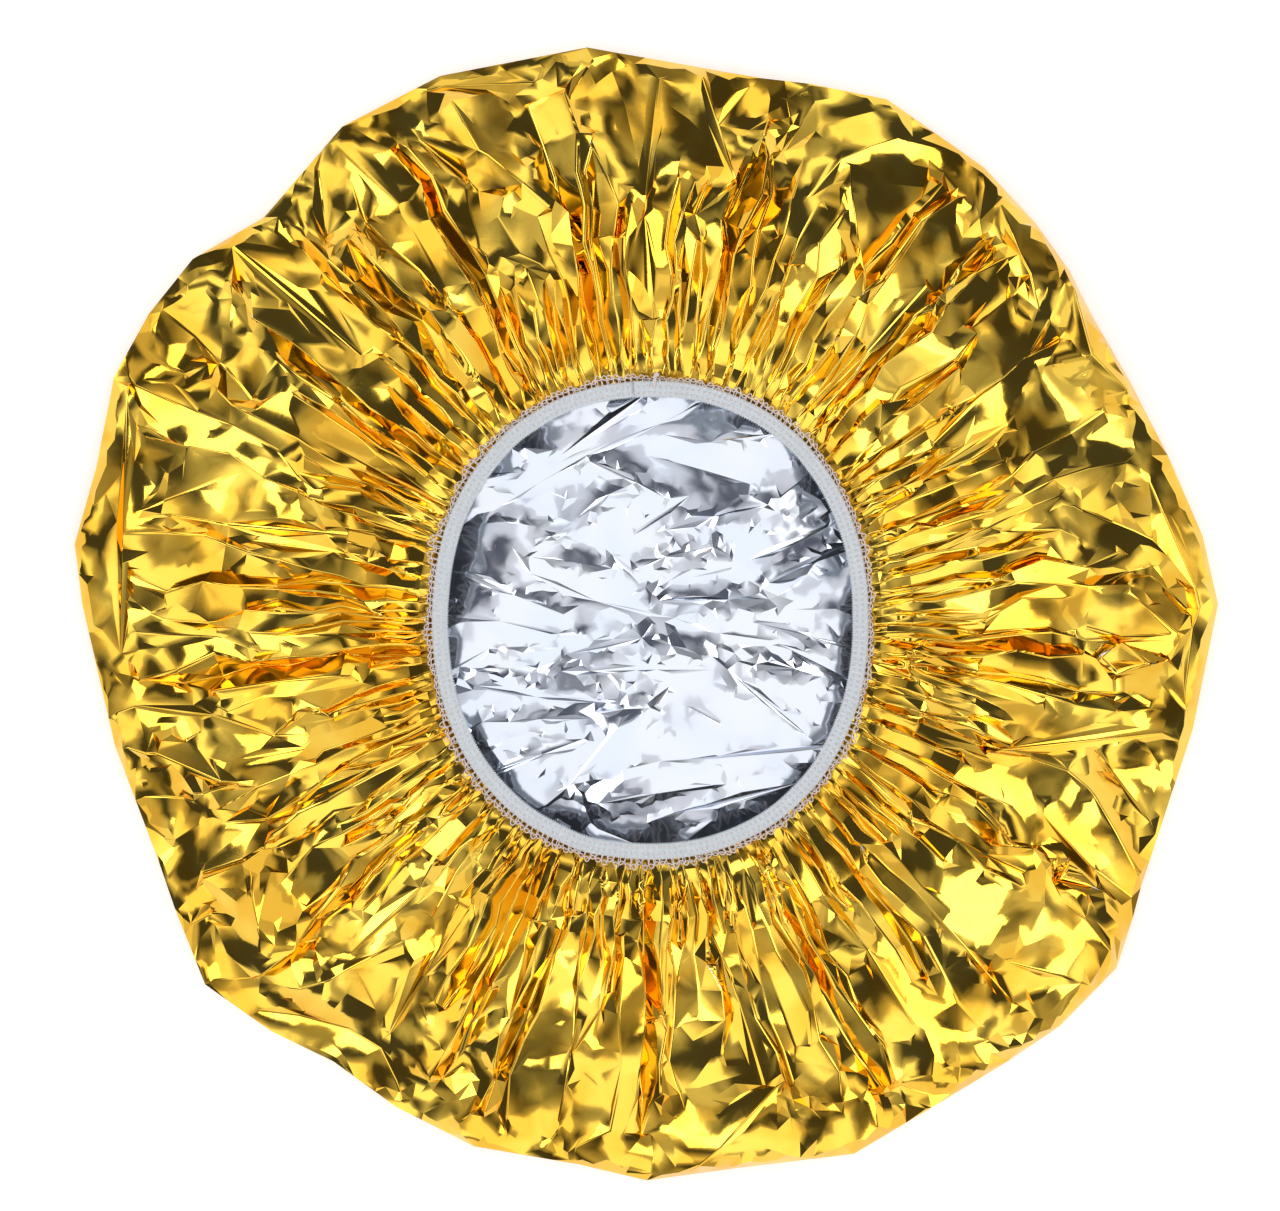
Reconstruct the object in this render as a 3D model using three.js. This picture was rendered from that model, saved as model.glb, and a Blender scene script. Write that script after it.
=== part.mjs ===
// Elasticated foil cap, lying flat on its crown with its gathered mouth up.
// Millimetres, +Z up. The origin is on the surface that the cap lies on, under the middle of its outline.
import * as THREE from "three";

const TURN = 2 * Math.PI;

// The film, gold outside and silver inside. Its wall is a stand-in for film some 0.02 mm thick.
const wall = 1.0;
const crownFlat = 0.8; // share of the outline's radius that lies flat on the surface
const crownLift = 0.8; // height of the crown where it starts to turn up, near the outline
const rimHeight = 5.8; // height of the cap's widest line
const rimTurn = 5; // how far in from the outline the film turns over
const rimTop = 9.5; // height of the film where it has turned over
const gatherBulge = 11; // how far the gathered top stands above a straight line from rim to mouth
const hemTop = 18.4; // height of the film's edge under the elastic
const pleatDepth = 2.6; // half the height of a pleat beside the mouth
const pleatsBegin = 0.08; // share of the way to the rim over which the pleats reach their full depth
const facetDepth = 1.4; // half the height between a crease and the belly of film beside it
const columnStep = 3; // degrees of the film's outline in one strip of facets, at most

// The outline's corners: direction in degrees and distance from the middle. Straight folds join them.
const rimCorners = [
  [1, 170], [8, 167], [17, 162], [26, 159.5], [34, 159.5], [39, 162], [45, 164], [53, 166.5],
  [65, 169], [73, 165], [78, 163], [96, 169.5], [111, 171.5], [122, 171], [134, 164], [142, 171.5],
  [149, 173], [156, 173.5], [165, 169.5], [173, 171.5], [179, 168], [194, 163], [206, 162.5],
  [212, 165.5], [220, 171.5], [228, 167], [235, 162.5], [243, 164.5], [252, 166.5], [263, 165],
  [270, 168.5], [279, 167], [291, 172], [300, 169.5], [309, 171], [315, 173.5], [323, 175],
  [328, 170.5], [331, 168], [348, 166],
];

// The mouth is a rounded oval, given by the elastic's outer edge.
const mouthCentre = new THREE.Vector2(1.0, -1.8);
const mouthHalfWidth = 64.3;
const mouthHalfLength = 70.4;
const mouthSquareness = 2.15; // 2 is an ellipse, and more is squarer

// The elastic is a flat knitted strip. Its ends lap at the top of the oval.
const elasticWidth = 4.8;
const elasticThickness = 1.0;
const elasticBottom = 19.2;
const lapAngle = 86 * (TURN / 360); // where the lower end starts
const lapLength = 8 * (TURN / 360);
const lapRamp = 6 * (TURN / 360); // the strip climbs onto its own start over this angle
const clearance = 0.3; // gap left between pieces that touch
const lapLift = elasticThickness + clearance;
const elasticSteps = 96;

const hemReach = 3.4; // how far the film's edge runs in under the elastic
const hemMargin = 0.8; // how far past the elastic the hem stays flat

// The overlocked seam has four threads: two straight needle rows, and two loopers that zigzag.
const threadRadius = 0.2;
const needleRows = { needle_thread_inner: -3.5, needle_thread_outer: -1.7 };
const needleSides = 5;
const needleSteps = 96;
const looperSides = 4;
const looperLoops = 72;

const gold = new THREE.MeshStandardMaterial({ color: 0xd8a51f, roughness: 0.18, metalness: 1 });
const elasticGrey = new THREE.MeshStandardMaterial({ color: 0xcdd6da, roughness: 0.85, metalness: 0 });
const threadWhite = new THREE.MeshStandardMaterial({ color: 0xece4df, roughness: 0.8, metalness: 0 });

const mix = (a, b, share) => a + (b - a) * share;
const polar = (angle, radius) => new THREE.Vector2(Math.cos(angle), Math.sin(angle)).multiplyScalar(radius);

// A point beside the elastic's outer edge: `out` is measured away from the mouth.
function besideMouth(angle, out) {
  const across = Math.abs(Math.cos(angle) / mouthHalfWidth) ** mouthSquareness;
  const along = Math.abs(Math.sin(angle) / mouthHalfLength) ** mouthSquareness;
  const radius = (across + along) ** (-1 / mouthSquareness);
  return polar(angle, radius + out).add(mouthCentre);
}

function geometryFrom(points, faces) {
  const geometry = new THREE.BufferGeometry().setFromPoints(points);
  geometry.setIndex(faces);
  geometry.computeVertexNormals();
  return geometry;
}

// The film's outline as equal steps along each straight fold. `ridge` is 1 on a corner and -1 midway.
function filmColumns() {
  const columns = [];
  rimCorners.forEach(([degrees, radius], i) => {
    const [nextDegrees, nextRadius] = rimCorners[(i + 1) % rimCorners.length];
    const corner = polar((degrees / 360) * TURN, radius);
    const nextCorner = polar((nextDegrees / 360) * TURN, nextRadius);
    const span = (nextDegrees - degrees + 360) % 360;
    const steps = Math.ceil(span / columnStep);
    for (let step = 0; step < steps; step += 1) {
      const rim = corner.clone().lerp(nextCorner, step / steps);
      columns.push({ rim, angle: rim.angle(), ridge: Math.cos((TURN * step) / steps) });
    }
  });
  return columns;
}

// Height of the film's outer face on the gathered top. `share` runs from the mouth, 0, to the rim, 1.
function gatheredHeight(share, column, pleatPhase) {
  const arch = mix(hemTop, rimTop, share) + gatherBulge * Math.sin(Math.PI * share ** 0.7);
  const pleat = pleatDepth * Math.min(1, share / pleatsBegin) * (1 - share) * Math.cos(pleatPhase);
  const belly = facetDepth * Math.sin(Math.PI * share) * column.ridge;
  return arch + pleat + belly;
}

// One ply of film: a shell that runs from the crown's middle out to the rim, over, and in to the mouth.
// Its rings go along the outer face to the hem and back along the inner face.
function foilFilm() {
  const columns = filmColumns();
  const pleats = Math.round(columns.length / 4);
  const ring = (place) => columns.map((column, i) => place(column, (TURN * pleats * i) / columns.length));
  const lying = (share, height) => ring(({ rim }) => new THREE.Vector3(rim.x * share, rim.y * share, height));
  const insideRim = (inset, height) =>
    ring(({ rim }) => {
      const point = rim.clone().setLength(rim.length() - inset);
      return new THREE.Vector3(point.x, point.y, height);
    });
  const gathered = (share, drop) =>
    ring((column, phase) => {
      const edge = column.rim.clone().setLength(column.rim.length() - rimTurn);
      const point = besideMouth(column.angle, hemMargin).lerp(edge, share);
      return new THREE.Vector3(point.x, point.y, gatheredHeight(share, column, phase) - drop);
    });
  const hem = (out, height) =>
    ring(({ angle }) => {
      const point = besideMouth(angle, out);
      return new THREE.Vector3(point.x, point.y, height);
    });

  const outerFace = [
    lying(0.35, 0),
    lying(0.62, 0),
    lying(crownFlat, 0),
    lying(0.91, crownLift),
    insideRim(rimTurn, 2.4),
    insideRim(1.2, 3.9),
    insideRim(0, rimHeight),
    insideRim(1.4, 8),
    ...[1, 0.86, 0.72, 0.56, 0.4, 0.26, 0.14, 0.06, 0].map((share) => gathered(share, 0)),
    hem(-hemReach, hemTop),
  ];
  const innerFace = [
    hem(-hemReach, hemTop - wall),
    ...[0, 0.06, 0.14, 0.26, 0.4, 0.56, 0.72, 0.86].map((share) => gathered(share, wall)),
    insideRim(rimTurn + 0.6, rimTop - 1.2),
    insideRim(wall * 2, rimHeight),
    insideRim(rimTurn + 0.6, 3.4),
    lying(0.9, crownLift + wall),
    lying(crownFlat, wall),
    lying(0.35, wall),
  ];
  const rings = [...outerFace, ...innerFace];
  const points = [new THREE.Vector3(0, 0, 0), ...rings.flat(), new THREE.Vector3(0, 0, wall)];
  const at = (row, column) => 1 + row * columns.length + (column % columns.length);
  const last = points.length - 1;
  const faces = [];
  for (let i = 0; i < columns.length; i += 1) {
    faces.push(0, at(0, i + 1), at(0, i));
    faces.push(last, at(rings.length - 1, i), at(rings.length - 1, i + 1));
    for (let row = 0; row + 1 < rings.length; row += 1) {
      faces.push(at(row, i), at(row, i + 1), at(row + 1, i));
      faces.push(at(row, i + 1), at(row + 1, i + 1), at(row + 1, i));
    }
  }
  return geometryFrom(points, faces);
}

// How far the elastic's top is raised where its two ends lap, with an easy climb on both sides.
function liftAtLap(angle) {
  const middle = lapAngle + lapLength / 2;
  const away = Math.abs(Math.atan2(Math.sin(angle - middle), Math.cos(angle - middle)));
  return lapLift * (1 - THREE.MathUtils.smoothstep(away, lapLength / 2 + 0.02, lapLength / 2 + lapRamp));
}

// Faces between sections that follow each other round the mouth, each with the same number of points.
function skinSections(count, sides, closed) {
  const at = (step, side) => (step % count) * sides + (side % sides);
  const faces = [];
  const spans = closed ? count : count - 1;
  for (let step = 0; step < spans; step += 1) {
    for (let side = 0; side < sides; side += 1) {
      faces.push(at(step, side), at(step + 1, side), at(step, side + 1));
      faces.push(at(step, side + 1), at(step + 1, side), at(step + 1, side + 1));
    }
  }
  return faces;
}

// The strip starts at the lap, goes once round the mouth, and climbs to lie on its own start.
function elasticBand() {
  const travel = TURN + lapLength;
  const points = [];
  for (let step = 0; step <= elasticSteps; step += 1) {
    const gone = (travel * step) / elasticSteps;
    const lift = lapLift * THREE.MathUtils.smoothstep(gone, TURN - lapRamp, TURN - 0.02);
    const section = [[-elasticWidth, 0], [0, 0], [0, elasticThickness], [-elasticWidth, elasticThickness]];
    section.forEach(([out, up]) => {
      const point = besideMouth(lapAngle + gone, out);
      points.push(new THREE.Vector3(point.x, point.y, elasticBottom + lift + up));
    });
  }
  const end = elasticSteps * 4;
  const faces = skinSections(elasticSteps + 1, 4, false);
  faces.push(0, 1, 2, 0, 2, 3);
  faces.push(end, end + 2, end + 1, end, end + 3, end + 2);
  return geometryFrom(points, faces);
}

// A round thread that goes once round the mouth. `route` gives [out, height] at each step.
function threadRound(steps, sides, route) {
  const points = [];
  for (let step = 0; step < steps; step += 1) {
    const angle = (TURN * step) / steps;
    const [out, height] = route(angle, step);
    for (let side = 0; side < sides; side += 1) {
      const around = (TURN * (side + 0.5)) / sides;
      const point = besideMouth(angle, out + threadRadius * Math.cos(around));
      points.push(new THREE.Vector3(point.x, point.y, height + threadRadius * Math.sin(around)));
    }
  }
  return geometryFrom(points, skinSections(steps, sides, true));
}

const overElastic = elasticBottom + elasticThickness + clearance + threadRadius;

function needleThread(out) {
  return threadRound(needleSteps, needleSides, (angle) => [out, overElastic + liftAtLap(angle)]);
}

// The upper looper's loops run from beside the outer needle row out over the pleats.
function upperLooper() {
  return threadRound(looperLoops * 2, looperSides, (angle, step) =>
    step % 2 ? [2.1, overElastic + 0.9 + liftAtLap(angle)] : [-0.9, overElastic + liftAtLap(angle)],
  );
}

// The lower looper's loops lie under the hem, on the silver face.
function lowerLooper() {
  const underHem = hemTop - wall - clearance - threadRadius;
  return threadRound(looperLoops * 2, looperSides, (angle, step) => [step % 2 ? 0.4 : -3.1, underHem]);
}

// The seam's end: a short chain of thread left standing off the lap, out over the pleats.
function threadTail() {
  const foot = overElastic + lapLift + 1.0;
  const angle = lapAngle + lapLength / 2;
  const route = [[-2.6, 0], [-1.0, 0.5], [1.2, 1.1], [3.6, 2.2], [6.2, 4.0]].map(([out, up], i) => {
    const point = besideMouth(angle - 0.012 * i, out);
    return new THREE.Vector3(point.x, point.y, foot + up);
  });
  const section = new THREE.Shape().absarc(0, 0, 0.5, 0, TURN);
  return new THREE.ExtrudeGeometry(section, {
    extrudePath: new THREE.CatmullRomCurve3(route),
    steps: 12,
    curveSegments: 8,
    bevelEnabled: false,
  });
}

const cap = new THREE.Group();

function addPiece(name, geometry, material) {
  const mesh = new THREE.Mesh(geometry, material);
  mesh.name = name;
  cap.add(mesh);
  return mesh;
}

const film = addPiece("foil_film", foilFilm(), gold);
addPiece("elastic_band", elasticBand(), elasticGrey);
Object.entries(needleRows).forEach(([name, out]) => addPiece(name, needleThread(out), threadWhite));
addPiece("looper_thread_upper", upperLooper(), threadWhite);
addPiece("looper_thread_lower", lowerLooper(), threadWhite);
addPiece("thread_tail", threadTail(), threadWhite);

// The outline isn't symmetrical, so the whole cap is moved to stand over the origin.
const middle = new THREE.Box3().setFromObject(film).getCenter(new THREE.Vector3());
cap.position.set(-middle.x, -middle.y, 0);

export default cap;
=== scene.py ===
"""Elasticated foil cap, lying flat on its crown with its gathered mouth up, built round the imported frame.

The film is one crumpled sheet in two parts that share the rim: the gathered top and the crown. Each part's
creases are laid out on a plain round, as if seen from above, and then carried to their places on the cap.
"""
import math

import bpy
import numpy as np
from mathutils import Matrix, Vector, noise
from mathutils.bvhtree import BVHTree
from mathutils.geometry import delaunay_2d_cdt


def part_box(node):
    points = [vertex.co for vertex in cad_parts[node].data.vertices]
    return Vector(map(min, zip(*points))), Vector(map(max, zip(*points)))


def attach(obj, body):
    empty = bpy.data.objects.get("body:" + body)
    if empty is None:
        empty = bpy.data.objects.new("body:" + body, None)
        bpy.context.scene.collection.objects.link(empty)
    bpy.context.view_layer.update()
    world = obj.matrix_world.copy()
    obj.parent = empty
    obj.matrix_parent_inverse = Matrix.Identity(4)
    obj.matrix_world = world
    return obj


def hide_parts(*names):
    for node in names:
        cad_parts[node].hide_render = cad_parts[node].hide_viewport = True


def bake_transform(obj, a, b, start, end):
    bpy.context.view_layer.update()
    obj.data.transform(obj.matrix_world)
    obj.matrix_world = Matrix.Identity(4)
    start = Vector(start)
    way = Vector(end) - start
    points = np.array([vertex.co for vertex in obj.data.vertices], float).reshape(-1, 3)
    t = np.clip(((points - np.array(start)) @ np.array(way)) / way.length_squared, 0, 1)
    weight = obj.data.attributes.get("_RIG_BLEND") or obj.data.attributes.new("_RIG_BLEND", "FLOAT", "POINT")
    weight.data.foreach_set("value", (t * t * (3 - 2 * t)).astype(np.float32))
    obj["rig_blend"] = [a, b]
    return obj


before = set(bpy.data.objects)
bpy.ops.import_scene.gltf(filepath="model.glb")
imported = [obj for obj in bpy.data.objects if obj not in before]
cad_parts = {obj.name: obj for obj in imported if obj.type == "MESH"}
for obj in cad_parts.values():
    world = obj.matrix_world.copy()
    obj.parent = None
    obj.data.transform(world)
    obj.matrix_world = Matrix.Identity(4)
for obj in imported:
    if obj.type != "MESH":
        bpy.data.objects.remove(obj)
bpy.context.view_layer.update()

MM = 0.001
TURN = 2 * math.pi
rng = np.random.default_rng(7)

# ---------------------------------------------------------------- sizes, in millimetres

# The film as it was cut: a round, whose middle part is the crown and whose outer part is gathered on top.
CROWN_REACH = 170.0  # from the middle of the cut round to the rim
TOP_REACH = 105.0  # from the rim to the film's edge under the elastic
EDGE_REACH = CROWN_REACH - TOP_REACH  # where the film's edge would lie, if the mouth were round
FILM_THICKNESS = 0.12

# The cap's section, as in the CAD model.
CROWN_LEVEL = 0.2
CROWN_FLAT = 0.8  # share of the crown that lies flat
CROWN_SLOPE = 1.4  # how far the rest of it rises
CROWN_TURN = 0.965  # share of the crown where it turns up into the rim
TOP_TURN = 0.975  # share of the gathered top where it turns down into the rim
RIM_HEIGHT = 5.8
RIM_TOP = 7.4
HEM_TOP = 18.4
HEM_REACH = 3.4
GATHER_BULGE = 11.0
BULGE_LEAN = 0.7  # under 1, so that the bulge stands nearer the mouth than the rim

# How far the creased film strays from that section.
CROWN_DOME = 4.5  # how far trapped air lifts the crown's middle
DOME_CENTRE_Y = -18.0
DOME_TOP_REACH, DOME_REACH = 40.0, 95.0
CROWN_WAVE = 1.1
TOP_WAVE = 0.8
OVER_CROWN = 4.8  # the lowest that a valley of the gathered top comes
FOLD_LEAN = 1.0  # how far a fold leans over sideways, as a share of its height
FILM_SWAY = 2.6  # how far the folds are bent sideways in broad waves
FREE_OF_MOUTH = 2.0  # from the film's edge to where it begins to follow the crown too

# The mouth's outline is the elastic's outer edge.
MOUTH_SQUARENESS = 2.15
ELASTIC_WIDTH = 4.8
ELASTIC_THICKNESS = 1.0
LAP_START, LAP_END = math.radians(86), math.radians(94)
LAP_RAMP = math.radians(6)
LAP_LIFT = 1.3  # the strip's thickness and a gap


def mm_box(node):
    """The node's lowest and highest corners in millimetres."""
    low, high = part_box(node)
    return np.array(low) / MM, np.array(high) / MM


elastic_low, elastic_high = mm_box("elastic_band")
MOUTH_CENTRE = (elastic_low[:2] + elastic_high[:2]) / 2
MOUTH_HALF = (elastic_high[:2] - elastic_low[:2]) / 2
ELASTIC_BOTTOM = elastic_low[2]


def rim_outline():
    """Directions and distances of the outline's points, read from the CAD film at its widest line."""
    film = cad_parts["foil_film"].data
    points = np.array([v.co[:] for v in film.vertices]) / MM
    points = points[np.abs(points[:, 2] - RIM_HEIGHT) < 0.05]
    angles = np.round(np.arctan2(points[:, 1], points[:, 0]), 3)
    away = np.hypot(points[:, 0], points[:, 1])
    directions = np.unique(angles)
    return directions, np.array([away[angles == direction].max() for direction in directions])


RIM_ANGLES, RIM_REACH = rim_outline()


def rim_reach(angle):
    wrapped = np.arctan2(np.sin(angle), np.cos(angle))
    return np.interp(wrapped, RIM_ANGLES, RIM_REACH, period=TURN)


def beside_mouth(angle, out):
    """Points beside the elastic's outer edge, `out` millimetres away from the mouth."""
    across = np.abs(np.cos(angle) / MOUTH_HALF[0]) ** MOUTH_SQUARENESS
    along = np.abs(np.sin(angle) / MOUTH_HALF[1]) ** MOUTH_SQUARENESS
    reach = (across + along) ** (-1 / MOUTH_SQUARENESS) + out
    return np.stack([MOUTH_CENTRE[0] + reach * np.cos(angle), MOUTH_CENTRE[1] + reach * np.sin(angle)], -1)


def smooth(x, low, high):
    share = np.clip((x - low) / (high - low), 0, 1)
    return share * share * (3 - 2 * share)


# ---------------------------------------------------------------- creases, laid out on plain rounds

PLEAT_STEPS = [0.4, 3.4, 7, 11, 16, 22, 29, 37, 46, 56, 67, 79, 91]  # distances from the film's edge
PLEAT_COUNTS = {91: 12, 79: 10, 67: 12, 56: 14, 46: 16, 37: 14, 29: 12, 22: 14}  # how many reach how far
PLEATS = sum(PLEAT_COUNTS.values())
LONG_FOLDS = [20, 45, 60, 77, 100, 122, 142, 173, 188, 220, 246, 269, 294, 310, 328, 353]  # degrees
CREASE_STEP = 3.0
CREASE_GAP = 0.45  # how near a crease runs to another before it stops, as a share of the spacing there
KINK_CHANCE = 0.14
FOLD_LENGTHS = (8, 24)
FOLD_STEEPNESS = 0.46  # a fold's height, as a share of the spacing of the folds there
WRINKLE_LENGTHS = (3, 9)
WRINKLE_HEIGHT = 0.45
LEVEL_SPACING = 4.0  # between the points that keep the film level beside the wrinkles
PANEL_SPACING = 16.0
PANEL_LENGTHS = (5, 14)
PANEL_STEEPNESS = 0.11
CROWN_FOLDS = (6.0, 1.5, 3.0)  # their spacing, their height and how near them the film is level again
CROWN_CRACKS = (3.0, 0.45, 1.0)
CROWN_FOLD_LENGTHS = (5, 16)
MESH_SPACING = 2.2
CREASE_RADIUS = 0.4  # half the width over which a fold's crease turns
SOFTENING = 1  # passes that round the bends between creases
SHARPEST_BEND = math.radians(16)  # anything sharper is a crease too
CROWN_BEND = math.radians(9)  # the same, in the crown


def flat_point(angle, reach):
    return (reach * math.cos(angle), reach * math.sin(angle))


class Taken:
    """Points already used, in square cells, so that the near ones are found quickly."""

    def __init__(self):
        self.cell, self.cells = 4.0, {}

    def add(self, points):
        for x, y in points:
            self.cells.setdefault((int(x // self.cell), int(y // self.cell)), []).append((x, y))

    def near(self, x, y, distance):
        reach = int(distance // self.cell) + 1
        column, row = int(x // self.cell), int(y // self.cell)
        for i in range(column - reach, column + reach + 1):
            for j in range(row - reach, row + reach + 1):
                for other in self.cells.get((i, j), ()):
                    if math.dist((x, y), other) < distance:
                        return True
        return False


def pleat_creases(taken):
    """A ridge and a valley for each pleat, from the film's edge to where the pleat dies out."""
    creases = []
    reaches = rng.permutation([reach for reach, count in PLEAT_COUNTS.items() for _ in range(count)])
    long_folds = {round(degrees / 360 * PLEATS) % PLEATS for degrees in LONG_FOLDS}
    for pleat in range(PLEATS):
        is_long = pleat in long_folds
        reach = PLEAT_STEPS[-1] if is_long else reaches[pleat]
        for side in (1, -1):
            angle = TURN * (pleat - 0.25 * side + rng.uniform(-0.12, 0.12)) / PLEATS
            strength = rng.uniform(0.6, 1.1) * (1.5 if is_long else 1)
            crease = []
            for distance in PLEAT_STEPS:
                if distance > reach:
                    break
                # Away from the mouth the pleat wanders more and stands higher. The seam presses it flat.
                wander = 0.35 + distance / 36
                angle += rng.uniform(-1, 1) * wander / (EDGE_REACH + distance)
                free_of_seam = 0.25 + 0.75 * float(smooth(distance, 3.2, 10))
                height = side * strength * free_of_seam * (1.0 + 0.024 * distance) * rng.uniform(0.7, 1.2)
                crease.append((*flat_point(angle, EDGE_REACH + distance), height))
            creases.append(np.array(crease))
            creases[-1][-1, 2] *= 0.5  # it is lower where it dies out
            for start, end in zip(crease, crease[1:]):
                steps = max(1, int(math.dist(start[:2], end[:2]) / CREASE_STEP))
                taken.add(
                    (start[0] + (end[0] - start[0]) * k / steps, start[1] + (end[1] - start[1]) * k / steps)
                    for k in range(steps)
                )
    return creases


def grown_creases(taken, reaches, spacing_at, heading_at, lengths, kink, tries):
    """Creases that start at random places and run on, with a kink now and then, until they near another.

    `lengths` are in spacings. Returns the corners of each and the spacing where it started.
    """
    creases = []
    low, high = reaches
    for _ in range(tries):
        start = flat_point(rng.uniform(0, TURN), math.sqrt(rng.uniform(low**2, high**2)))
        spacing = spacing_at(*start)
        if taken.near(*start, spacing):
            continue
        heading = heading_at(*start)
        path, crease = [start], [start]
        for way in (0, math.pi):
            corners, (x, y), bearing = [], start, heading + way
            for step in range(int(rng.uniform(*lengths) * spacing / CREASE_STEP / 2)):
                if step and rng.random() < KINK_CHANCE:
                    bearing += rng.normal(0, kink)
                    corners.append((x, y))
                x, y = x + CREASE_STEP * math.cos(bearing), y + CREASE_STEP * math.sin(bearing)
                if not low < math.hypot(x, y) < high or taken.near(x, y, spacing * CREASE_GAP):
                    break
                path.append((x, y))
                end = (x, y)
            else:
                step += 1
            if step > 1 and (not corners or corners[-1] != end):
                corners.append(end)
            crease = corners[::-1] + crease if way == 0 else crease + corners
        if len(path) > 3:
            taken.add(path)
            creases.append((np.array(crease), spacing))
    return creases


def raised(creases, steepness, both_ways=True):
    """Gives each crease its height, as a share of its spacing: a ridge, or perhaps a valley if `both_ways`.

    A crease is lower at its ends.
    """
    lifted = []
    for crease, spacing in creases:
        side = rng.choice([-1, 1]) if both_ways else 1
        heights = side * steepness * spacing * rng.uniform(0.4, 1.2) * rng.uniform(0.85, 1.15, len(crease))
        heights[[0, -1]] *= 0.6
        lifted.append(np.column_stack([crease, heights]))
    return lifted


def raised_evenly(creases, height, both_ways=True):
    """The same, but with about the same height for all of them, whatever their spacing."""
    return raised([(crease, 1.0) for crease, _ in creases], height, both_ways)


def patchy(x, y, size, seed):
    """Uneven patches about `size` millimetres wide, between -1 and 1."""
    return noise.noise(Vector((x / size, y / size, seed)))


def fold_spacing(x, y):
    """Folds lie further apart towards the rim, and closer together in crumpled patches."""
    from_edge = math.hypot(x, y) - EDGE_REACH
    patch = 1 + 1.3 * patchy(x, y, 30, 3.7)
    return (3.2 + 9.0 * float(smooth(from_edge, 20, 90))) * min(1.2, max(0.5, patch))


def fold_heading(x, y):
    """Folds run in to the mouth, and more and more crosswise towards the rim."""
    from_edge = math.hypot(x, y) - EDGE_REACH
    return math.atan2(y, x) + rng.normal(0, 0.12 + 0.65 * float(smooth(from_edge, 30, 100)))


def wrinkle_spacing(x, y):
    """Wrinkles are finest beside the mouth. Away from it they lie in patches, and calm film between."""
    from_edge = math.hypot(x, y) - EDGE_REACH
    calm = float(smooth(patchy(x, y, 22, 9.1), -0.4, 0.15) * smooth(from_edge, 0, 70))
    return 1.3 + 1.1 * float(smooth(from_edge, 8, 35)) + 12.0 * calm


def any_heading(x, y):
    return rng.uniform(0, math.pi)


def crown_heading(x, y):
    """The crown's creases run across it, rising a little to one side."""
    return 0.06 + rng.normal(0, 0.4)


def scattered(taken, reaches, spacing, tries):
    """Points with no crease to be on, which fill the mesh in between."""
    found = []
    low, high = reaches
    for _ in range(tries):
        x, y = flat_point(rng.uniform(0, TURN), math.sqrt(rng.uniform(low**2, high**2)))
        if not taken.near(x, y, spacing):
            taken.add([(x, y)])
            found.append((x, y))
    return found


class Net:
    """A net of straight creases, with a height at each corner and flat facets between."""

    def __init__(self, creases, level):
        points, heights, edges = [], [], []
        for crease in creases:
            edges += [(len(points) + k, len(points) + k + 1) for k in range(len(crease) - 1)]
            points += [Vector(p[:2]) for p in crease]
            heights += list(crease[:, 2])
        points += [Vector(p) for p in level]
        heights += [0.0] * len(level)
        corners, lines, faces, origins, line_origins, _ = delaunay_2d_cdt(points, edges, [], 0, 1e-3)
        values = [float(np.mean([heights[k] for k in origin])) if origin else 0.0 for origin in origins]
        self.corners = [Vector(c) for c in corners]
        self.lines = [line for line, origin in zip(lines, line_origins) if origin]
        self.facets = BVHTree.FromPolygons(
            [(c.x, c.y, h) for c, h in zip(corners, values)], faces, all_triangles=True
        )

    def height(self, x, y):
        hit = self.facets.ray_cast(Vector((x, y, 100)), Vector((0, 0, -1)))[0]
        return hit.z if hit else 0.0


def ring(reach, count=60):
    return [flat_point(TURN * k / count, reach) for k in range(count)]


# Level points a little outside a part, so that its facets run on over its border.
OUTER_RING = ring(CROWN_REACH + 6)
INNER_RING = ring(EDGE_REACH - 6)


def cut_along(nets, loops, loose, innermost, rounded_net=None):
    """A flat mesh cut along every crease of every net.

    Returns its points, its faces, the edges that are creases, which of those belong to `rounded_net` and
    each net's height at each point. A rounded crease has a line of points close on each side of it.
    """
    points, lines, rounded = [], [], []
    for net in nets:
        lines += [(a + len(points), b + len(points)) for a, b in net.lines]
        points += net.corners
        rounded += [net is rounded_net] * len(net.lines)
    crease_count = len(lines)
    for a, b in rounded_net.lines if rounded_net else []:
        start, end = rounded_net.corners[a], rounded_net.corners[b]
        along = (end - start).normalized()
        for side in (CREASE_RADIUS, -CREASE_RADIUS):
            beside = side * Vector((-along.y, along.x))
            lines.append((len(points), len(points) + 1))
            points += [start + beside, end + beside]
    beside_count = len(lines)
    for loop in loops:
        offset, count = len(points), len(loop)
        points += [Vector(p) for p in loop]
        lines += [(offset + k, offset + (k + 1) % count) for k in range(count)]
    points += [Vector(p) for p in loose]
    corners, edges, faces, _, origins, _ = delaunay_2d_cdt(points, lines, [], 0, 1e-3)
    flat = np.array([c[:] for c in corners])
    faces = np.array([f for f in faces if len(f) == 3])
    middles = flat[faces].mean(1)
    reach, rim = np.hypot(*middles.T), rim_limit(np.arctan2(middles[:, 1], middles[:, 0]))
    faces = faces[(reach > innermost) & (reach < rim)]
    used, faces = np.unique(faces, return_inverse=True)
    faces, flat = faces.reshape(-1, 3), flat[used]
    place_of = np.full(len(corners), -1)
    place_of[used] = np.arange(len(used))
    held, creased, is_rounded = [], [], []
    for edge, origin in zip(edges, origins):
        edge = place_of[list(edge)]
        sources = [k for k in origin if k < crease_count]
        if min(edge) >= 0 and any(k < beside_count for k in origin):
            held.extend(edge)
        if min(edge) >= 0 and sources:
            creased.append(edge)
            is_rounded.append(all(rounded[k] for k in sources))
    heights = np.array([[net.height(x, y) for net in nets] for x, y in flat]).T
    heights = [softened(values, faces, held) for values in heights]
    return flat, faces, (np.array(creased), np.array(is_rounded)), heights


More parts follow.
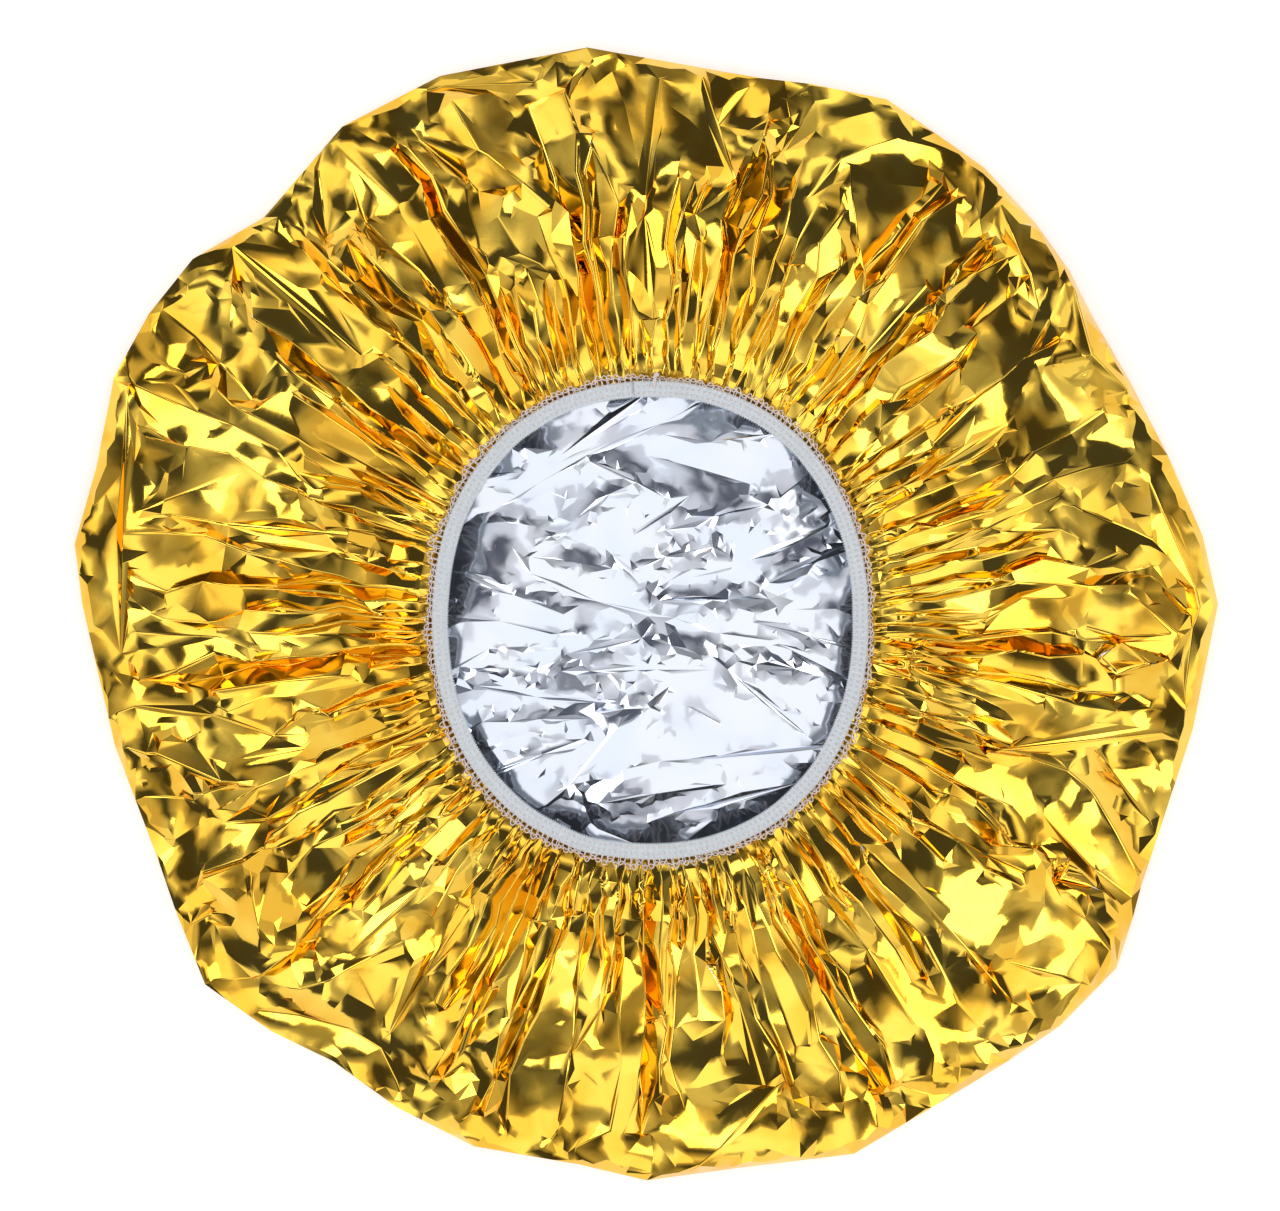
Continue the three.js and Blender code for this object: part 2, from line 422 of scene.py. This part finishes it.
def softened(heights, faces, held):
    """The facets bend gently where they meet, away from the `held` points along the creases."""
    ends = np.concatenate([faces[:, [0, 1]], faces[:, [1, 2]], faces[:, [2, 0]]])
    ends = np.concatenate([ends, ends[:, ::-1]])
    free = np.ones(len(heights), bool)
    free[held] = False
    count = np.bincount(ends[:, 0], minlength=len(heights))
    for _ in range(SOFTENING):
        mean = np.bincount(ends[:, 0], heights[ends[:, 1]], minlength=len(heights)) / count
        heights = np.where(free, mean, heights)
    return heights


def rim_limit(angle):
    """How far the loop of straight lines between the rim's points reaches in this direction."""
    gaps = np.diff(np.append(RIM_ANGLES, RIM_ANGLES[0] + TURN))
    turned = np.mod(angle - RIM_ANGLES[0], TURN) + RIM_ANGLES[0]
    k = np.searchsorted(RIM_ANGLES, turned, side="right") - 1
    half = gaps[k] / 2
    return CROWN_REACH * np.cos(half) / np.cos(turned - RIM_ANGLES[k] - half)


def rim_loop():
    return [flat_point(angle, CROWN_REACH) for angle in RIM_ANGLES]


def top_patch():
    """Pleats at the mouth, folds beyond them and between them, and wrinkles."""
    taken = Taken()
    folds = pleat_creases(taken)
    reaches = (EDGE_REACH + 5, CROWN_REACH - 2)
    grown = grown_creases(taken, reaches, fold_spacing, fold_heading, FOLD_LENGTHS, kink=0.4, tries=8000)
    folds += raised(grown, FOLD_STEEPNESS)
    fold_net = Net(folds, OUTER_RING + INNER_RING)
    wrinkles = grown_creases(
        taken, reaches, wrinkle_spacing, any_heading, WRINKLE_LENGTHS, kink=0.6, tries=9000
    )
    wrinkles = raised_evenly(wrinkles, WRINKLE_HEIGHT)
    level = scattered(taken, (EDGE_REACH, CROWN_REACH), LEVEL_SPACING, tries=9000)
    wrinkle_net = Net(wrinkles, level + OUTER_RING + INNER_RING)
    loose = scattered(taken, (EDGE_REACH + 1, CROWN_REACH - 1), MESH_SPACING, tries=20000)
    loops = [ring(EDGE_REACH, PLEATS * 4), rim_loop()]
    return cut_along([fold_net, wrinkle_net], loops, loose, EDGE_REACH - 0.1, fold_net)


def crown_patch():
    """Broad panels, narrow folds that run across, and fine cracks."""
    taken = Taken()
    reaches = (0, CROWN_REACH - 2)
    panels = grown_creases(
        taken, reaches, lambda x, y: PANEL_SPACING, crown_heading, PANEL_LENGTHS, kink=0.3, tries=700
    )
    nets = [Net(raised(panels, PANEL_STEEPNESS), OUTER_RING)]
    for spacing, height, margin in (CROWN_FOLDS, CROWN_CRACKS):
        narrow = grown_creases(
            taken, reaches, lambda x, y: spacing, crown_heading, CROWN_FOLD_LENGTHS, kink=0.4, tries=1500
        )
        narrow = raised_evenly(narrow, height, both_ways=False)
        level = scattered(taken, (0, CROWN_REACH), margin, tries=25000)
        nets.append(Net(narrow, level + OUTER_RING))
    return cut_along(nets, [rim_loop()], [], -1)


# ---------------------------------------------------------------- the film carried to its place


def gathered_height(share):
    """Height of the gathered top. `share` runs from the mouth, 0, to the rim, 1."""
    share = np.clip(share, 0, 1)
    return HEM_TOP + (RIM_TOP - HEM_TOP) * share + GATHER_BULGE * np.sin(math.pi * share**BULGE_LEAN)


def crown_place(angle, reach):
    """Where the crown's part of the sheet lies, with no creases."""
    rim = rim_reach(angle)
    share = reach / CROWN_REACH
    turned = np.clip((share - CROWN_TURN) / (1 - CROWN_TURN), 0, 1) ** 2
    level = CROWN_LEVEL + CROWN_SLOPE * smooth(share, CROWN_FLAT, 0.97)
    z = level + (RIM_HEIGHT - CROWN_LEVEL - CROWN_SLOPE) * turned
    return np.stack([rim * share * np.cos(angle), rim * share * np.sin(angle), z], -1)


def top_place(angle, reach):
    """Where the gathered part of the sheet lies, with no creases."""
    from_edge = reach - EDGE_REACH
    rim = rim_reach(angle)
    edge = np.stack([rim * np.cos(angle), rim * np.sin(angle)], -1)
    share = np.clip((from_edge - HEM_REACH) / (TOP_REACH - HEM_REACH), 0, 1)
    start = beside_mouth(angle, np.minimum(from_edge - HEM_REACH, 0))
    flat = start + (edge - start) * share[:, None]
    turned = np.clip((share - TOP_TURN) / (1 - TOP_TURN), 0, 1) ** 2
    z = gathered_height(share) * (1 - turned) + RIM_HEIGHT * turned
    return np.concatenate([flat, z[:, None]], 1)


def smooth_waves(points, size, seed):
    """A gentle uneven wave between -1 and 1, as wide as `size` millimetres."""
    offset = Vector((seed * 17.3, seed * 5.1, seed * 9.7))
    return np.array([noise.noise(Vector(p) / size + offset) for p in points])


def top_shape():
    """The gathered top: its points in place, its faces, its creases and how far each point is from the
    film's edge."""
    flat, faces, creased, (folds, wrinkles) = top_patch()
    reach, angle = np.hypot(*flat.T), np.arctan2(flat[:, 1], flat[:, 0])
    place, from_edge = top_place(angle, reach), reach - EDGE_REACH
    waves = TOP_WAVE * smooth_waves(place, 34, 1)
    lift = folds + wrinkles * smooth(from_edge, 3, 16) + waves * smooth(from_edge, 8, 40)
    lift *= smooth(TOP_REACH - from_edge, 0, 2.5)
    lift = np.maximum(lift, OVER_CROWN - place[:, 2])
    place[:, 2] += lift

    # The folds lean over, each patch of them to its own side, so that they lie on each other.
    patch = np.stack([np.cos(angle) * 30, np.sin(angle) * 30, from_edge * 0.15], -1)
    lean = FOLD_LEAN * np.clip(smooth_waves(patch, 10, 2) * 3.0, -1, 1) * smooth(from_edge, 3, 12)
    lean *= 1 - 0.4 * smooth(from_edge, 70, 100)
    place[:, :2] += np.stack([-np.sin(angle), np.cos(angle)], -1) * (lean * lift)[:, None]
    sway = FILM_SWAY * smooth(from_edge, 15, 45) * smooth(TOP_REACH - from_edge, 0, 12)
    place[:, 0] += sway * smooth_waves(place, 16, 6)
    place[:, 1] += sway * smooth_waves(place, 16, 7)
    return place, faces, creased, from_edge


def crown_shape():
    """The crown, gold side down: its points in place, its faces, its creases and how far each point is from
    the film's edge."""
    flat, faces, creased, heights = crown_patch()
    reach, angle = np.hypot(*flat.T), np.arctan2(flat[:, 1], flat[:, 0])
    place = crown_place(angle, reach)
    from_dome = np.hypot(place[:, 0], place[:, 1] - DOME_CENTRE_Y)
    dome = CROWN_DOME * (1 - smooth(from_dome, DOME_TOP_REACH, DOME_REACH))
    lift = 0.7 + dome + sum(heights) + CROWN_WAVE * smooth_waves(place, 22, 4)
    lift = np.maximum(lift, 0.05) * smooth(CROWN_REACH - reach, 0, 10)
    place[:, 2] += lift * (1 - 0.5 * smooth(reach, 100, 145))
    return place, faces[:, ::-1], creased, TOP_REACH + CROWN_REACH - reach


def film_shape():
    """The whole film as one sheet, with the same four results. Its parts share the points along the rim."""
    top, top_faces, top_creased, top_edge = top_shape()
    crown, crown_faces, crown_creased, crown_edge = crown_shape()
    place = np.concatenate([top, crown])
    faces = np.concatenate([top_faces, crown_faces + len(top)])
    creased = np.concatenate([top_creased[0], crown_creased[0] + len(top)])
    rounded = np.concatenate([top_creased[1], crown_creased[1]])
    from_edge = np.concatenate([top_edge, crown_edge])
    _, first, same = np.unique(np.round(place, 3), axis=0, return_index=True, return_inverse=True)
    same = same.reshape(-1)
    faces, creased = same[faces], same[creased]
    whole = (faces != np.roll(faces, 1, axis=1)).all(1)  # merging the points leaves some with no area
    return place[first], faces[whole], (creased, rounded), from_edge[first]


def bent_edges(mesh, bend):
    """Which of the mesh's edges bend more sharply than this."""
    mesh.set_sharp_from_angle(angle=bend)
    sharp = np.empty(len(mesh.edges), bool)
    mesh.attributes["sharp_edge"].data.foreach_get("value", sharp)
    return sharp


def film_mesh():
    """The film's mesh, sharp along its creases, and how far each point is from the film's edge."""
    place, faces, (creased, rounded), from_edge = film_shape()
    mesh = bpy.data.meshes.new("foil")
    mesh.from_pydata((place * MM).tolist(), [], faces.tolist())
    mesh.update()
    mesh.shade_smooth()
    ends = np.empty(2 * len(mesh.edges), np.int64)
    mesh.edges.foreach_get("vertices", ends)
    ends = ends.reshape(-1, 2)
    in_crown = (from_edge[ends] > TOP_REACH).all(1)
    sharp = np.where(in_crown, bent_edges(mesh, CROWN_BEND), bent_edges(mesh, SHARPEST_BEND))
    # Each edge becomes one number, so that the creases are found among the mesh's edges.
    codes = np.sort(ends, 1) @ (len(place), 1)
    crease_codes = np.sort(creased, 1) @ (len(place), 1)
    sharp |= np.isin(codes, crease_codes[~rounded])
    sharp &= ~np.isin(codes, crease_codes[rounded])
    mesh.attributes["sharp_edge"].data.foreach_set("value", sharp)
    return mesh, place, faces, from_edge


# ---------------------------------------------------------------- materials

GOLD, GOLD_SHADE = (0.92, 0.61, 0.085), (0.85, 0.48, 0.045)
SILVER, SILVER_SHADE = (0.87, 0.91, 0.98), (0.81, 0.87, 0.97)
ELASTIC_COLOUR = (0.80, 0.86, 0.90)
YARN_COLOUR = (0.95, 0.88, 0.86)


def new_material(name):
    material = bpy.data.materials.new(name)
    material.use_nodes = True
    nodes, links = material.node_tree.nodes, material.node_tree.links
    return material, nodes, links, nodes["Principled BSDF"]


def bumped(nodes, links, height, distance, before=None):
    """A bump whose highest places stand `distance` metres over its lowest, on top of the bump `before`."""
    bump = nodes.new("ShaderNodeBump")
    bump.inputs["Distance"].default_value = distance
    links.new(height, bump.inputs["Height"])
    if before:
        links.new(before.outputs["Normal"], bump.inputs["Normal"])
    return bump


def noise_at(nodes, links, place, size, detail, distortion):
    """Noise with lumps `size` metres wide."""
    texture = nodes.new("ShaderNodeTexNoise")
    texture.inputs["Scale"].default_value = 1 / size
    texture.inputs["Detail"].default_value = detail
    texture.inputs["Distortion"].default_value = distortion
    links.new(place, texture.inputs["Vector"])
    return texture


def film_material(name, colour, shade, roughness, metallic):
    """Metallised film: a mirror that is a little wavy, with a tint that varies from `colour` to `shade`."""
    material, nodes, links, shader = new_material(name)
    place = nodes.new("ShaderNodeTexCoord").outputs["Object"]
    wavy = noise_at(nodes, links, place, 0.009, 1, 0.6)
    fine = noise_at(nodes, links, place, 0.0022, 2, 0.3)
    tint = noise_at(nodes, links, place, 0.02, 2, 0.5)
    bump = bumped(nodes, links, wavy.outputs["Fac"], 0.00003)
    bump = bumped(nodes, links, fine.outputs["Fac"], 0.000006, bump)
    ramp = nodes.new("ShaderNodeValToRGB")
    ramp.color_ramp.elements[0].position = 0.4
    ramp.color_ramp.elements[0].color = (*shade, 1)
    ramp.color_ramp.elements[1].position = 0.6
    ramp.color_ramp.elements[1].color = (*colour, 1)
    links.new(tint.outputs["Fac"], ramp.inputs["Fac"])
    links.new(ramp.outputs["Color"], shader.inputs["Base Color"])
    links.new(bump.outputs["Normal"], shader.inputs["Normal"])
    shader.inputs["Metallic"].default_value = metallic
    shader.inputs["Roughness"].default_value = roughness
    return material


def build_film():
    """Makes the film, and returns a function that gives its height at a place in millimetres."""
    mesh, place, faces, from_edge = film_mesh()
    film = bpy.data.objects.new("film", mesh)
    bpy.context.scene.collection.objects.link(film)
    mesh.materials.append(film_material("film_gold", GOLD, GOLD_SHADE, 0.08, 1.0))
    mesh.materials.append(film_material("film_silver", SILVER, SILVER_SHADE, 0.1, 0.95))
    ply = film.modifiers.new("ply", "SOLIDIFY")
    ply.thickness = FILM_THICKNESS * MM
    ply.offset = -1
    ply.material_offset = 1
    ply.material_offset_rim = 0
    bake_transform(film, "crown", "mouth", (0, 0, 0), (0, 0, 0.03))
    # A point's share of the mouth's motion goes by its way along the film, not by its height.
    mouth_share = 1 - smooth(from_edge, FREE_OF_MOUTH, TOP_REACH)
    mesh.attributes["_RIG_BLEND"].data.foreach_set("value", mouth_share.astype(np.float32))
    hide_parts("foil_film")
    surface = BVHTree.FromPolygons(place.tolist(), faces.tolist(), all_triangles=True)
    return lambda x, y: surface.ray_cast(Vector((x, y, 100)), Vector((0, 0, -1)))[0].z


# ---------------------------------------------------------------- the elastic and its threads

KNIT_PITCH = 0.8  # one rib of the knit, along the strip
KNIT_STEP = 0.2
RIB_RELIEF = 0.08
WALE_PITCH, WALE_RELIEF = 0.6, 0.04  # the knit's lines that run along the strip
HOLE_DEPTH, HOLE_RADIUS = 0.7, 0.3  # where the needle draws the knit down
SCALLOP = 0.26
WANDER = 0.3
LAP_CLIMB = 7.0  # the length over which the strip climbs onto its own end
STITCH_PITCH = 1.6
LOOP_PITCH = 1.65
NEEDLE_RADIUS, UPPER_RADIUS, LOWER_RADIUS, TAIL_RADIUS = 0.13, 0.17, 0.15, 0.16
NEEDLE_ROWS = {"needle_thread_inner": -3.5, "needle_thread_outer": -1.7}


def mouth_run():
    """Distances along the middle of the elastic, and the direction from the mouth's middle at each."""
    angles = np.linspace(0, TURN, 2881)
    steps = np.diff(beside_mouth(angles, -ELASTIC_WIDTH / 2), axis=0)
    return np.concatenate([[0], np.cumsum(np.hypot(steps[:, 0], steps[:, 1]))]), angles


RUN, RUN_ANGLES = mouth_run()
MOUTH_LENGTH = RUN[-1]


def along_mouth(distance):
    turns, rest = np.divmod(distance, MOUTH_LENGTH)
    return turns * TURN + np.interp(rest, RUN, RUN_ANGLES)


def elastic_lift(angle):
    """How far the strip's upper side stands above its usual level. It does so only where its ends lap."""
    turned = np.mod(angle, TURN)
    risen = smooth(turned, LAP_START - LAP_RAMP, LAP_START)
    fallen = smooth(turned, LAP_END, LAP_END + 0.01)
    return LAP_LIFT * risen * (1 - fallen)


def elastic_mesh():
    """A knitted strip: ribs across it, two rows of needle holes and a scalloped inner edge.

    Its end laps over its start.
    """
    start = np.interp(LAP_START, RUN_ANGLES, RUN)
    length = MOUTH_LENGTH + np.interp(LAP_END, RUN_ANGLES, RUN) - start
    distance = np.arange(0, length, KNIT_STEP)
    angle = along_mouth(start + distance)
    climb = LAP_LIFT * smooth(distance, MOUTH_LENGTH - LAP_CLIMB, MOUTH_LENGTH)
    top = np.linspace(-ELASTIC_WIDTH, 0, 21)
    bottom = np.linspace(-0.3, -ELASTIC_WIDTH + 0.3, 6)
    rib = np.cos(TURN * distance / KNIT_PITCH)
    wander = smooth_waves(np.stack([distance, distance * 0, distance * 0], -1), 9, 5)
    sections = []
    for out in top:
        from_side = min(out + ELASTIC_WIDTH, -out)
        rounded = ELASTIC_THICKNESS * (0.55 + 0.45 * math.sqrt(min(1, from_side / 0.5)))
        rib_height = RIB_RELIEF * rib * (1 if from_side < 1.1 else 0.6)
        relief = rib_height + WALE_RELIEF * math.cos(TURN * out / WALE_PITCH)
        for row in NEEDLE_ROWS.values():
            hole = np.clip(np.cos(TURN * distance / STITCH_PITCH), 0, 1) ** 3
            relief = relief - HOLE_DEPTH * hole * math.exp(-(((out - row) / HOLE_RADIUS) ** 2))
        edge = SCALLOP * rib * (out < -ELASTIC_WIDTH + 0.3) + WANDER * wander
        sections.append((out + edge, ELASTIC_BOTTOM + rounded + relief + climb))
    for out in bottom:
        sections.append((out + WANDER * wander, ELASTIC_BOTTOM + climb + 0 * distance))
    points = np.stack(
        [np.concatenate([beside_mouth(angle, out), z[:, None]], 1) for out, z in sections], 1
    )
    rows, columns = points.shape[:2]
    index = np.arange(rows * columns).reshape(rows, columns)
    after = np.roll(index, -1, axis=1)
    quads = np.stack([index[:-1], index[1:], after[1:], after[:-1]], -1).reshape(-1, 4)
    ends = [index[0].tolist(), index[-1, ::-1].tolist()]
    mesh = bpy.data.meshes.new("elastic")
    mesh.from_pydata((points.reshape(-1, 3) * MM).tolist(), [], quads.tolist() + ends)
    mesh.update()
    mesh.shade_smooth()
    return mesh


def fabric_material(name, colour, grain, depth):
    """Matt yarn: fine fibres in its colour and its surface."""
    material, nodes, links, shader = new_material(name)
    place = nodes.new("ShaderNodeTexCoord")
    fibres = nodes.new("ShaderNodeTexNoise")
    fibres.inputs["Scale"].default_value = grain
    fibres.inputs["Detail"].default_value = 4.0
    links.new(place.outputs["Object"], fibres.inputs["Vector"])
    shades = nodes.new("ShaderNodeValToRGB")
    first, last = shades.color_ramp.elements
    first.position, first.color = 0.3, (*[0.78 * c for c in colour], 1)
    last.position, last.color = 0.7, (*colour, 1)
    links.new(fibres.outputs["Fac"], shades.inputs["Fac"])
    links.new(shades.outputs["Color"], shader.inputs["Base Color"])
    bump = nodes.new("ShaderNodeBump")
    bump.inputs["Strength"].default_value = 0.6
    bump.inputs["Distance"].default_value = depth
    links.new(fibres.outputs["Fac"], bump.inputs["Height"])
    links.new(bump.outputs["Normal"], shader.inputs["Normal"])
    shader.inputs["Roughness"].default_value = 0.85
    shader.inputs["Sheen Weight"].default_value = 0.25
    shader.inputs["Sheen Roughness"].default_value = 0.5
    return material


def build_elastic():
    mesh = elastic_mesh()
    elastic = bpy.data.objects.new("elastic_strip", mesh)
    bpy.context.scene.collection.objects.link(elastic)
    mesh.materials.append(fabric_material("elastic_knit", ELASTIC_COLOUR, 2600.0, 0.0002))
    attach(elastic, "mouth")
    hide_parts("elastic_band")


def thread_piece(node, runs, radius, material):
    """Thread along each run of points, in millimetres, in place of the CAD thread of that name."""
    curve = bpy.data.curves.new(node, "CURVE")
    curve.dimensions = "3D"
    curve.bevel_depth = radius * MM
    curve.bevel_resolution = 1
    curve.use_fill_caps = True
    for run in runs:
        spline = curve.splines.new("POLY")
        spline.points.add(len(run) - 1)
        spline.points.foreach_set("co", np.append(run * MM, np.ones((len(run), 1)), 1).ravel())
    curve.materials.append(material)
    piece = bpy.data.objects.new(node + "_stitches", curve)
    bpy.context.scene.collection.objects.link(piece)
    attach(piece, "mouth")
    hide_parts(node)


def beside_elastic(distance, out, z):
    """Points at these distances along the elastic, `out` from its outer edge and at height `z`."""
    place = np.array([beside_mouth(a, o) for a, o in zip(along_mouth(distance), out)])
    return np.concatenate([place, z[:, None]], 1)


def needle_stitches(out):
    """A straight row of stitches that dips into the elastic between one stitch and the next."""
    distance = np.arange(0, MOUTH_LENGTH, STITCH_PITCH / 6)
    dip = np.clip(np.cos(TURN * distance / STITCH_PITCH), 0, 1) ** 2
    z = ELASTIC_BOTTOM + ELASTIC_THICKNESS + elastic_lift(along_mouth(distance)) + 0.06 - 0.3 * dip
    return beside_elastic(distance, np.full(len(distance), out), z)


def looper_loops(film_top):
    """Slack loops that lie out over the pleats, and the thread that links their tips."""
    points_in_loop = 10
    count = int(MOUTH_LENGTH / LOOP_PITCH)
    step = np.arange(count * points_in_loop + 1) / points_in_loop
    loop = step.astype(int)
    turn = TURN * step
    along_seam = np.stack([step * LOOP_PITCH, 0 * step, 0 * step], -1)
    slack = 0.8 + 0.9 * np.clip(smooth_waves(along_seam, 12, 8), -0.6, 1)
    slack = slack * rng.uniform(0.5, 1.5, count + 1)[loop]
    lean = rng.uniform(-0.6, 0.6, count + 1)[loop]
    bow = 0.5 - 0.5 * np.cos(turn)
    out = -0.7 + (1.2 + 1.7 * slack) * bow
    distance = step * LOOP_PITCH - 0.52 * np.sin(turn) + lean * bow
    chain_out = 1.15 * slack + 0.22 * np.cos(turn + 1.0)
    chain_distance = step * LOOP_PITCH + 0.25 * np.sin(2 * turn)
    runs = []
    for along, away, over in ((distance, out, 0.14), (chain_distance, chain_out, 0.34)):
        on_elastic = ELASTIC_BOTTOM + ELASTIC_THICKNESS + elastic_lift(along_mouth(along)) + over
        flat = beside_elastic(along, away, on_elastic)
        film = np.array([film_top(x, y) for x, y, _ in flat]) + over
        flat[:, 2] = np.where(away < 0.1, on_elastic, np.maximum(film, ELASTIC_BOTTOM + over))
        runs.append(flat)
    return runs


def lower_loops():
    """The lower looper's zigzag on the silver side of the hem."""
    distance = np.arange(0, MOUTH_LENGTH, STITCH_PITCH / 4)
    out = -1.35 - 1.75 * np.cos(TURN * distance / (2 * STITCH_PITCH))
    return beside_elastic(distance, out, np.full(len(distance), mm_box("looper_thread_lower")[0][2] + 0.2))


def tail_strands():
    """The seam's end: two strands twisted round each other, standing off the lap and fraying at the tip."""
    low, high = mm_box("thread_tail")
    foot = np.array([low[0] + 1.6, low[1] + 0.8, low[2] - 0.8])
    tip = np.array([low[0] + 2.3, low[1] + 4.6, high[2] - 0.6])
    bend = np.array([low[0] + 1.2, low[1] + 3.2, low[2] + 1.4])
    share = np.linspace(0, 1, 40)[:, None]
    middle = foot * (1 - share) ** 2 + 2 * bend * share * (1 - share) + tip * share**2
    strands = []
    for start in (0, math.pi):
        twist = start + 4.5 * TURN * share[:, 0]
        spread = 0.3 + 0.35 * share[:, 0] ** 3
        side = np.stack([np.cos(twist), 0.5 * np.sin(twist), 0.6 * np.sin(twist)], -1)
        strands.append(middle + side * spread[:, None])
    for _ in range(9):
        reach = rng.uniform(-1, 1, 3) * np.array([0.9, 0.9, 0.4])
        strands.append(tip + np.linspace(0, 1, 5)[:, None] ** 0.8 * reach)
    return strands


def build_threads(film_top):
    yarn = fabric_material("thread_yarn", YARN_COLOUR, 4200.0, 0.0001)
    for node, row in NEEDLE_ROWS.items():
        thread_piece(node, [needle_stitches(row)], NEEDLE_RADIUS, yarn)
    thread_piece("looper_thread_upper", looper_loops(film_top), UPPER_RADIUS, yarn)
    thread_piece("looper_thread_lower", [lower_loops()], LOWER_RADIUS, yarn)
    thread_piece("thread_tail", tail_strands(), TAIL_RADIUS, yarn)


# ---------------------------------------------------------------- studio, in metres


def area_light(name, size, place, radiance, colour=(1, 1, 1)):
    """A light turned to the cap, `size` metres wide and high, that the camera doesn't see."""
    light = bpy.data.lights.new(name, "AREA")
    light.shape = "RECTANGLE"
    light.size, light.size_y = size
    light.energy = radiance * size[0] * size[1] * math.pi
    light.color = colour
    lamp = bpy.data.objects.new(name, light)
    lamp.location = place
    lamp.rotation_euler = (-Vector(place)).to_track_quat("-Z", "Y").to_euler()
    bpy.context.scene.collection.objects.link(lamp)
    lamp.visible_camera = False


def build_floor():
    mesh = bpy.data.meshes.new("floor")
    half = 8.0
    corners = [(-half, -half, 0), (half, -half, 0), (half, half, 0), (-half, half, 0)]
    mesh.from_pydata(corners, [], [(0, 1, 2, 3)])
    floor = bpy.data.objects.new("floor", mesh)
    bpy.context.scene.collection.objects.link(floor)
    material, _, _, shader = new_material("pale_floor")
    shader.inputs["Base Color"].default_value = (0.85, 0.85, 0.86, 1)
    shader.inputs["Roughness"].default_value = 0.9
    shader.inputs["Emission Color"].default_value = (1, 1, 1, 1)
    shader.inputs["Emission Strength"].default_value = 0.4
    mesh.materials.append(material)


def build_world():
    """A pale ceiling straight above, and bright and dark patches around it for the film to mirror."""
    world = bpy.data.worlds.new("studio")
    world.use_nodes = True
    nodes, links = world.node_tree.nodes, world.node_tree.links
    background = nodes["Background"]
    direction = nodes.new("ShaderNodeTexCoord")
    gaps = nodes.new("ShaderNodeTexNoise")
    gaps.inputs["Scale"].default_value = 2.8
    gaps.inputs["Detail"].default_value = 0.0
    shades = nodes.new("ShaderNodeValToRGB")
    first, last = shades.color_ramp.elements
    first.position, first.color = 0.40, (0.06, 0.065, 0.09, 1)
    last.position, last.color = 0.63, (1.5, 1.5, 1.5, 1)
    for position, shade in ((0.49, 0.40), (0.56, 0.62)):
        shades.color_ramp.elements.new(position).color = (shade, shade, 1.03 * shade, 1)
    links.new(direction.outputs["Generated"], gaps.inputs["Vector"])
    links.new(gaps.outputs["Fac"], shades.inputs["Fac"])
    height = nodes.new("ShaderNodeSeparateXYZ")
    links.new(direction.outputs["Generated"], height.inputs[0])
    upward = nodes.new("ShaderNodeMapRange")
    upward.interpolation_type = "SMOOTHSTEP"
    upward.inputs["From Min"].default_value = 0.895
    upward.inputs["From Max"].default_value = 0.95
    links.new(height.outputs["Z"], upward.inputs["Value"])
    ceiling = nodes.new("ShaderNodeMix")
    ceiling.data_type = "RGBA"
    ceiling.inputs["B"].default_value = (0.72, 0.71, 0.73, 1)
    links.new(upward.outputs["Result"], ceiling.inputs["Factor"])
    links.new(shades.outputs["Color"], ceiling.inputs["A"])
    links.new(ceiling.outputs["Result"], background.inputs["Color"])
    seen = nodes.new("ShaderNodeBackground")  # the plain backdrop that the camera sees in place of them
    seen.inputs["Color"].default_value = (0.9, 0.9, 0.9, 1)
    path = nodes.new("ShaderNodeLightPath")
    mix = nodes.new("ShaderNodeMixShader")
    links.new(path.outputs["Is Camera Ray"], mix.inputs[0])
    links.new(background.outputs[0], mix.inputs[1])
    links.new(seen.outputs[0], mix.inputs[2])
    links.new(mix.outputs[0], nodes["World Output"].inputs["Surface"])
    bpy.context.scene.world = world


def build_lights():
    area_light("overhead", (0.9, 0.9), (0, 0, 1.7), 0.36, (0.94, 0.97, 1.0))
    away = 1.5
    for name, azimuth, elevation, size, radiance in (
        ("side_a", 35, 54, (0.75, 0.35), 2.8),
        ("side_b", 140, 46, (0.75, 0.35), 2.6),
        ("side_c", 215, 58, (0.6, 0.3), 2.8),
        ("side_d", 300, 48, (0.75, 0.35), 2.8),
    ):
        around, up = math.radians(azimuth), math.radians(elevation)
        place = (*flat_point(around, away * math.cos(up)), away * math.sin(up))
        area_light(name, size, place, radiance)


def build_camera():
    """Straight down, with +Y up in the picture. `level` metres over the floor, it is `width` metres wide."""
    width, away, level = 0.3801, 1.2, 0.008
    data = bpy.data.cameras.new("camera")
    data.sensor_width = 36
    data.lens = 36 * away / width
    camera = bpy.data.objects.new("camera", data)
    camera.location = (-0.0019, 0.0025, away + level)
    bpy.context.scene.collection.objects.link(camera)
    bpy.context.scene.camera = camera


build_camera()
build_world()
build_lights()
build_floor()
film_top = build_film()
build_elastic()
build_threads(film_top)
bpy.context.scene.view_settings.view_transform = "Standard"
